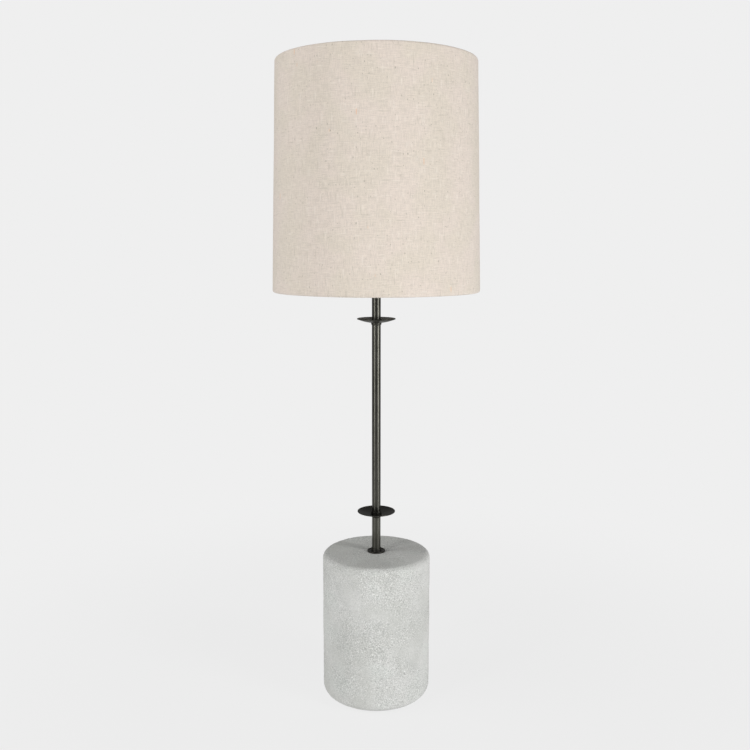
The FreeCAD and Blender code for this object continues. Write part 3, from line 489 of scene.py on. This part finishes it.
def wrapped_sheet(name, outline, thickness, lap, columns, ripple, material):
    """A thin sheet that follows the outline once round the axis and laps over its own start.

    ripple is the height of the slight waves in it."""
    normals = outline_normals(outline)
    rows = len(outline)
    layers = []
    for depth in (0.0, thickness):
        for j in range(columns):
            share = j / (columns - 1)
            angle = SEAM_ANGLE - lap / 2 + (TURN + lap) * share
            past = (share * (TURN + lap) - TURN) / lap
            lift = thickness * 1.15 * min(max(past * 3 + 1.0, 0.0), 1.0)
            spot = Vector((math.cos(angle), math.sin(angle), 0.0))
            for (r, z), normal in zip(outline, normals):
                wave = ripple * noise.noise(Vector((spot.x * 3, spot.y * 3, z * 14)))
                out = lift - depth + wave
                layers.append(spot * (r + normal.x * out) + Vector((0, 0, z + normal.y * out)))
    size = rows * columns
    faces = []
    for j in range(columns - 1):
        for i in range(rows - 1):
            a, b, c, d = j * rows + i, j * rows + i + 1, (j + 1) * rows + i + 1, (j + 1) * rows + i
            faces += [(a, b, c, d), (size + d, size + c, size + b, size + a)]
    for j in range(columns - 1):
        for i in (0, rows - 1):
            a, b = j * rows + i, (j + 1) * rows + i
            faces.append((a, b, size + b, size + a))
    for j in (0, columns - 1):
        for i in range(rows - 1):
            a, b = j * rows + i, j * rows + i + 1
            faces.append((a, b, size + b, size + a))
    piece = mesh_piece(name, layers, faces, material)
    clean_mesh(piece)
    return piece


def shade_cover():
    """The linen, turned over both wire rings."""
    outline = [Vector(p) for p in cloth_outline()]
    cover = wrapped_sheet("shade_cover", outline, CLOTH, LAP, 361, 0.25 * MM, LINEN)
    placed(cover, "shade", "linen", "shade_fabric")


def shade_lining():
    """The stiff film inside the linen."""
    film = 0.35 * MM
    inside = CLOTH + film
    top_z, low_z = liner_high.z, liner_low.z
    slope = (BOTTOM_WIRE_R - TOP_WIRE_R) / (TOP_WIRE_Z - BOTTOM_WIRE_Z)

    def face(z):
        return TOP_WIRE_R + ROLL - inside + (TOP_WIRE_Z - z) * slope

    ends = [Vector((face(top_z), top_z)), Vector((face(low_z), low_z))]
    outline = divided(ends, 4.0 * MM, closed=False)
    piece = wrapped_sheet("shade_lining", outline, film, LAP * 1.6, 241, 0.1 * MM, LINING)
    placed(piece, "shade", "liner", "shade_liner")


def weld_bead(name, centre, radius):
    """A small, slightly uneven bead of weld."""
    shape = bmesh.new()
    bmesh.ops.create_icosphere(shape, subdivisions=3, radius=radius)
    for vert in shape.verts:
        swell = 1 + 0.14 * noise.noise(vert.co * 900 + Vector(centre) * 300)
        vert.co = Vector(centre) + Vector((vert.co.x, vert.co.y, vert.co.z * 0.55)) * swell
    mesh = bpy.data.meshes.new(name)
    shape.to_mesh(mesh)
    shape.free()
    mesh.materials.append(POWDER_COAT)
    bead = bpy.data.objects.new(name, mesh)
    bpy.context.scene.collection.objects.link(bead)
    return bead


def fitter():
    """The fitter ring and the three arms that carry it, with their welds."""
    low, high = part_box("fitter_ring")
    arms_low, arms_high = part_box("fitter_arms")
    bore, rim = 21.0 * MM, high.x
    outline = softened([(bore, low.z), (rim, low.z), (rim, high.z), (bore, high.z)], 0.5 * MM)
    placed(lathe("fitter_plate", divided(outline, 3 * MM), 128, POWDER_COAT),
           "shade", "white_wire", "fitter_ring")
    low_z, top_z = arms_low.z + WIRE, arms_high.z - WIRE
    into_wire, run_out = 0.4 * MM, 8 * MM  # an arm's end in the bottom ring, and its level stretch there
    run_in, overlap = 7 * MM, 2.6 * MM  # where it bends level again, and its reach over the fitter ring
    arms, pieces = 3, []
    for i in range(arms):
        angle = SEAM_ANGLE + TURN * i / arms
        spot = Vector((math.cos(angle), math.sin(angle), 0))
        stops = [(BOTTOM_WIRE_R + into_wire, low_z), (BOTTOM_WIRE_R - run_out, low_z),
                 (rim + run_in, top_z), (rim - overlap, top_z)]
        route = bent([spot * r + Vector((0, 0, z)) for r, z in stops], 5.0 * MM)
        pieces.append(tube(f"arm_{i}", route, WIRE, 20, POWDER_COAT))
        pieces.append(weld_bead(f"weld_in_{i}", route[-1] + Vector((0, 0, -0.7 * MM)), 2.1 * MM))
    placed(joined("fitter_wires", pieces), "shade", "white_wire", "fitter_arms")


# Stem and saucers

def stem():
    """The drawn tube from the base to the lampholder."""
    low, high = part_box("stem_tube")
    wall = 1.0 * MM
    radius, bore = high.x, high.x - wall
    outline = softened([(bore, low.z), (radius, low.z), (radius, high.z), (bore, high.z)], 0.25 * MM)
    placed(lathe("stem", divided(outline, 12 * MM), 64, STEM_BRONZE), "lamp", "dark_bronze", "stem_tube")


def foot():
    """The turned flange on the base, a shallow dish with a collar in its middle."""
    low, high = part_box("foot_flange")
    rim, bore, collar = high.x, 5.05 * MM, 5.85 * MM
    top = low.z + 1.6 * MM
    dish = top - 0.5 * MM
    outline = softened([
        (bore, low.z), (rim, low.z), (rim, top), (rim - 1.3 * MM, top + 0.1 * MM), (rim - 2.2 * MM, dish),
        (collar, dish), (collar, high.z), (bore, high.z)], 0.4 * MM)
    placed(lathe("foot", divided(outline, 2 * MM), 96, SHADE_DARKENED_BRONZE), "lamp", "dark_bronze", "foot_flange")


def saucer(level):
    """A spun dish with a rolled rim, and the collar that carries it."""
    low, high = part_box(f"{level}_saucer")
    rim, sheet, hole = high.x, 1.0 * MM, 5.88 * MM
    depth = high.z - sheet * 0.5 - low.z
    sphere = (rim ** 2 + depth ** 2) / (2 * depth)
    centre = low.z + sphere - 0.3 * MM
    roll = 0.62 * MM

    def dish(radius, r):
        return (r, centre - math.sqrt(radius ** 2 - r ** 2))

    radii = [hole + (rim - roll - hole) * i / 16 for i in range(17)]
    under = [dish(sphere, r) for r in radii]
    over = [dish(sphere - sheet, r) for r in reversed(radii)]
    tip = ((under[-1][0] + over[0][0]) / 2, (under[-1][1] + over[0][1]) / 2)
    outline = under + arc(tip, roll, -60, 120, 8) + over
    placed(lathe(f"{level}_dish", [Vector(p) for p in outline], 128, SHADE_DARKENED_BRONZE),
           "lamp", "dark_bronze", f"{level}_saucer")
    low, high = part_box(f"{level}_saucer_collar")
    bore, wide = 5.04 * MM, high.x
    chamfer, slant = 0.7 * MM, 0.9 * MM
    outline = softened([
        (bore, low.z), (wide - chamfer, low.z), (wide, low.z + slant), (wide, high.z), (bore, high.z)],
        0.35 * MM)
    placed(lathe(f"{level}_collar", divided(outline, 2 * MM), 64, SHADE_DARKENED_BRONZE),
           "lamp", "dark_bronze", f"{level}_saucer_collar")


# Base

def cast_base():
    """The concrete block, hollow under the stem hole, with grains and pits in its uneven skin."""
    low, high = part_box("concrete_base")
    rim, bottom, top = high.x, low.z, high.z
    top_round, low_round = 6.2 * MM, 11.0 * MM
    plate, chamber, chamber_top, hole = 41.3 * MM, 33 * MM, 50 * MM, 5.4 * MM
    plate_top = bottom + 2 * MM
    skin = [(plate, bottom)]
    skin += arc((rim - low_round, bottom + low_round), low_round, -90, 0, 12)
    skin += arc((rim - top_round, top - top_round), top_round, 0, 90, 8)
    skin += [(hole + 0.6 * MM, top), (hole, top - 0.6 * MM)]
    inside = [(hole, chamber_top), (chamber, chamber_top), (chamber, plate_top), (plate, plate_top)]
    outline = divided(skin, 1.25 * MM, closed=False)
    outline += divided([skin[-1]] + inside, 12 * MM, closed=False)[1:]
    base = lathe("cast_base", outline, 320, CONCRETE)
    mesh = base.data
    count = len(mesh.vertices)
    place, normal = np.zeros(count * 3, np.float32), np.zeros(count * 3, np.float32)
    mesh.vertices.foreach_get("co", place)
    mesh.vertex_normals.foreach_get("vector", normal)
    place, normal = place.reshape(-1, 3), normal.reshape(-1, 3)
    near_stem, skin_depth, edge = 12 * MM, 13 * MM, 1 * MM
    for i, spot in enumerate(place):
        across = math.hypot(spot[0], spot[1])
        inner = across < rim - skin_depth and spot[2] < top - edge
        if across < near_stem or spot[2] < bottom + edge or inner:
            continue
        here = Vector(spot)
        relief = 0.35 * MM * noise.noise(here * 28)
        relief += 0.30 * MM * noise.noise(here * 430) + 0.16 * MM * noise.noise(here * 900)
        relief -= 0.7 * MM * max(0.0, noise.noise(here * 210 + Vector((7, 3, 1))) - 0.42)
        place[i] += normal[i] * (relief - 0.12 * MM)
    mesh.vertices.foreach_set("co", place.ravel())
    mesh.update()
    cut_bush_passage(base)
    placed(base, "lamp", "concrete", "concrete_base")


def cut_bush_passage(base):
    """Cuts the hole and the spot face for the cord bush through the back of the base."""
    low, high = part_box("cord_bush")
    height = (low.z + high.z) / 2
    flange, body = (high.x - low.x) / 2 + 0.3 * MM, 6.05 * MM
    inner, flange_y, outer = low.y - 4 * MM, 60.2 * MM, high.y + 5 * MM
    outline = [(0, inner), (body, inner), (body, flange_y), (flange, flange_y), (flange, outer), (0, outer)]
    cutter = lathe("bush_cutter", [Vector(p) for p in outline], 64, CONCRETE, closed=False)
    cutter.data.transform(Matrix.Translation((0, 0, height)) @ Matrix.Rotation(math.radians(-90), 4, "X"))
    cut = base.modifiers.new("bush_passage", "BOOLEAN")
    cut.object, cut.operation, cut.solver = cutter, "DIFFERENCE", "EXACT"
    depsgraph = bpy.context.evaluated_depsgraph_get()
    mesh = bpy.data.meshes.new_from_object(base.evaluated_get(depsgraph))
    base.modifiers.clear()
    base.data = mesh
    bpy.data.objects.remove(cutter)


# Lampholder, retaining ring and bulb

def thread(root, crest, pitch):
    """A radius that winds up a round-topped screw thread."""
    def radius(angle, height):
        phase = height / pitch - angle / TURN
        return root + (crest - root) * (0.5 + 0.5 * math.cos(TURN * phase))
    return radius


def holder():
    """The cap and the threaded skirt of the lampholder."""
    low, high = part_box("holder_cap")
    wide, neck, bore = high.x, 8.0 * MM, 5.06 * MM
    dome, wall = low.z + 7 * MM, 2.0 * MM
    outline = [(bore, low.z), (neck, low.z), (neck, dome), (12.5 * MM, low.z + 8.2 * MM),
               (15.9 * MM, low.z + 10.9 * MM), (18.0 * MM, low.z + 14.6 * MM), (wide, low.z + 19 * MM),
               (wide, high.z), (wide - wall, high.z), (wide - wall, low.z + 19.8 * MM),
               (14.1 * MM, low.z + 13.6 * MM), (9 * MM, low.z + 12 * MM), (bore, low.z + 12 * MM)]
    piece = lathe("holder_dome", divided(softened(outline, 1.6 * MM), 3 * MM), 96, PHENOLIC)
    placed(piece, "lamp", "black_phenolic", "holder_cap")

    low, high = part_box("holder_skirt")
    seat_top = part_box("fitter_ring")[0].z - 0.05 * MM
    grip, seat, sleeve, seat_depth = 21.5 * MM, high.x, 18.85 * MM, 2.5 * MM
    root = 19.1 * MM
    wind = thread(root, 19.8 * MM, 2.5 * MM)
    bore, lip, lip_z, cap_z = 17.4 * MM, 15.2 * MM, high.z - 3 * MM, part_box("holder_cap")[1].z
    outline = [(sleeve, low.z), (grip, low.z), (grip, seat_top - seat_depth), (seat, seat_top - seat_depth),
               (seat, seat_top), (root, seat_top + 0.01 * MM), (root, high.z - 0.6 * MM),
               (root - 0.6 * MM, high.z), (lip, high.z), (lip, lip_z), (bore, lip_z), (bore, cap_z),
               (sleeve, cap_z)]

    def shape(radius, angle, height):
        if abs(radius - root) < 0.02 * MM and seat_top + 1 * MM < height < high.z - 1 * MM:
            return wind(angle, height)
        if radius > grip - 0.1 * MM and low.z + 1.5 * MM < height < seat_top - 3 * MM:
            return radius - 0.45 * MM * max(0.0, math.cos(angle * 18)) ** 3
        return radius

    piece = lathe("holder_sleeve", divided(softened(outline, 0.5 * MM), 0.6 * MM), 144, PHENOLIC, shape)
    placed(piece, "lamp", "black_phenolic", "holder_skirt")


def clamp_ring():
    """The fluted ring that holds the shade down."""
    low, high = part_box("retaining_ring")
    bore, wide, grip = 19.95 * MM, high.x, high.x - 1.6 * MM
    outline = [(bore, low.z), (wide, low.z), (wide, low.z + 2.4 * MM), (grip, low.z + 3.4 * MM),
               (grip, high.z - 0.8 * MM), (grip - 0.8 * MM, high.z), (bore, high.z)]

    def shape(radius, angle, height):
        if radius > grip - 0.9 * MM and height > low.z + 3 * MM:
            return radius - 1.0 * MM * (0.5 + 0.5 * math.cos(angle * 20)) ** 4
        return radius

    piece = lathe("clamp_ring", divided(softened(outline, 0.6 * MM), 1.0 * MM), 240, PHENOLIC, shape)
    placed(piece, "retaining_ring", "black_phenolic", "retaining_ring")


def bulb():
    """The opal diffuser, white housing and threaded cap."""
    low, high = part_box("bulb_diffuser")
    radius = 30.0 * MM
    centre, wall = high.z - radius, 1.2 * MM
    dip = math.degrees(math.asin((low.z - centre) / radius))
    outline = arc((0, centre), radius, dip, 90, 28) + arc((0, centre), radius - wall, 90, dip - 0.6, 20)
    placed(lathe("diffuser", [Vector(p) for p in outline], 96, OPAL), "bulb", "opal", "bulb_diffuser")

    low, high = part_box("bulb_housing")
    rim, base = high.x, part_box("bulb_cap")[1].z
    curve = [(13.3 * MM, base + 3 * MM), (14.4 * MM, base + 11 * MM), (17.6 * MM, base + 20.5 * MM),
             (22.4 * MM, base + 30.5 * MM)]
    inner = [(r - 1.55 * MM, z) for r, z in reversed(curve)]
    outline = [(9.9 * MM, low.z), (11.9 * MM, low.z), (11.9 * MM, base), (13.3 * MM, base)] + curve
    outline += [(rim, high.z), (rim - 1.6 * MM, high.z)] + inner + [(9.9 * MM, base + 3 * MM)]
    piece = lathe("housing", divided(softened(outline, 3.0 * MM, 6), 2 * MM), 96, HOUSING)
    placed(piece, "bulb", "white_housing", "bulb_housing")

    low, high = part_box("bulb_cap")
    inner, root = 12.05 * MM, 12.45 * MM
    wind = thread(root, 13.1 * MM, 3.63 * MM)

    def shape(radius, angle, height):
        start, end = (min(max(d / (2 * MM), 0.0), 1.0) for d in (height - low.z, high.z - height))
        return radius + (wind(angle, height) - root) * start * end

    outline = [(inner, low.z), (root, low.z), (root, high.z), (inner, high.z)]
    piece = lathe("screw_cap", divided(outline, 0.45 * MM), 96, NICKEL, shape)
    placed(piece, "bulb", "nickel", "bulb_cap")


# Stage

CAMERA_PLACE = Vector((-0.0015, -1.0393, 0.533))
CAMERA_PITCH = math.radians(8.31)
CAMERA_LENS = 44.24
PAPER = (0.863, 0.863, 0.863)
FLOOR_RADIUS = 0.85
FLOOR_GLOW = 0.90  # the self-lit share of the floor round the lamp
GLOW_START = 0.25  # how far out that share begins to rise to all of it
UNDER_BASE = 49 * MM
UNDER_BASE_EDGE = 3 * MM
ROOM_LIGHT = 0.25
MIDDLE = Vector((0, 0, 0.36))  # what the soft boxes face


def camera():
    """The camera at the photograph's angle."""
    data = bpy.data.cameras.new("camera")
    data.lens, data.sensor_width = CAMERA_LENS, 36.0
    eye = bpy.data.objects.new("camera", data)
    bpy.context.scene.collection.objects.link(eye)
    aim = Matrix.Rotation(math.pi / 2 - CAMERA_PITCH, 4, "X")
    eye.matrix_world = Matrix.Translation(CAMERA_PLACE) @ aim
    bpy.context.scene.camera = eye


def soft_box(name, azimuth, elevation, distance, size, power):
    """A soft box that faces the lamp's middle, with its angles in degrees and its power in watts.

    Azimuth 0 is at the camera's side, 90 to its right."""
    data = bpy.data.lights.new(name, "AREA")
    data.shape, (data.size, data.size_y) = "RECTANGLE", size
    data.energy = power
    light = bpy.data.objects.new(name, data)
    bpy.context.scene.collection.objects.link(light)
    a, e = math.radians(azimuth), math.radians(elevation)
    away = Vector((math.sin(a) * math.cos(e), -math.cos(a) * math.cos(e), math.sin(e)))
    light.location = MIDDLE + away * distance
    light.rotation_euler = (-away).to_track_quat("-Z", "Y").to_euler()
    return light


def floor():
    """A round pale floor, mostly self-lit except under the base, that fades into the backdrop."""
    finish = Finish("floor_paper", Roughness=1.0)
    finish.shader.inputs["Base Color"].default_value = (0.8, 0.8, 0.8, 1.0)
    glow = finish.node("ShaderNodeEmission", {"Color": (*PAPER, 1.0), "Strength": 1.0})
    out = finish.node("ShaderNodeVectorMath", {0: finish.place}, operation="LENGTH").outputs["Value"]
    share = finish.ramp(out, GLOW_START, FLOOR_RADIUS * 0.95, FLOOR_GLOW, 1.0)
    clear_of_base = finish.ramp(out, UNDER_BASE, UNDER_BASE + UNDER_BASE_EDGE)
    share = finish.math("MULTIPLY", share, clear_of_base)
    mix = finish.node("ShaderNodeMixShader", {0: share, 1: finish.shader.outputs[0], 2: glow.outputs[0]})
    finish.tree.links.new(mix.outputs[0], finish.tree.nodes["Material Output"].inputs["Surface"])
    shape = bmesh.new()
    bmesh.ops.create_circle(shape, cap_ends=True, radius=FLOOR_RADIUS, segments=96)
    mesh = bpy.data.meshes.new("floor")
    shape.to_mesh(mesh)
    shape.free()
    mesh.materials.append(finish.material)
    disc = bpy.data.objects.new("floor", mesh)
    disc.location.z = -0.1 * MM
    bpy.context.scene.collection.objects.link(disc)


def backdrop():
    """A pale backdrop, and a dimmer room for what the lamp reflects and is lit by."""
    world = bpy.data.worlds.new("studio")
    bpy.context.scene.world = world
    world.use_nodes = True
    tree = world.node_tree
    room = tree.nodes["Background"]
    seen = tree.nodes.new("ShaderNodeBackground")
    seen.inputs["Color"].default_value = (*PAPER, 1.0)
    path = tree.nodes.new("ShaderNodeLightPath")
    mix = tree.nodes.new("ShaderNodeMixShader")
    room.inputs["Color"].default_value = (1.0, 1.0, 1.0, 1.0)
    room.inputs["Strength"].default_value = ROOM_LIGHT
    tree.links.new(path.outputs["Is Camera Ray"], mix.inputs[0])
    tree.links.new(room.outputs[0], mix.inputs[1])
    tree.links.new(seen.outputs[0], mix.inputs[2])
    tree.links.new(mix.outputs[0], tree.nodes["World Output"].inputs["Surface"])


def studio():
    """The lights, of which only the key and the fill show in the metal, and what surrounds the lamp."""
    bpy.context.scene.view_settings.view_transform = "Standard"
    soft_box("key", 54, 8, 1.7, (0.5, 1.5), 20.5)
    soft_box("fill", -46, 8, 1.7, (0.3, 1.5), 11)
    front = soft_box("front", 20, -4, 1.9, (0.9, 0.5), 5.5)
    high = soft_box("high", -74, 34, 1.7, (0.9, 0.9), 9)
    behind = soft_box("behind", 180, 4, 2.0, (1.6, 0.9), 11)
    for light in (front, high, behind):
        light.visible_glossy = False
    backdrop()
    floor()
    camera()


finish_cad_nodes()
shade_cover()
shade_lining()
fitter()
stem()
foot()
saucer("lower")
saucer("upper")
cast_base()
holder()
clamp_ring()
bulb()
studio()
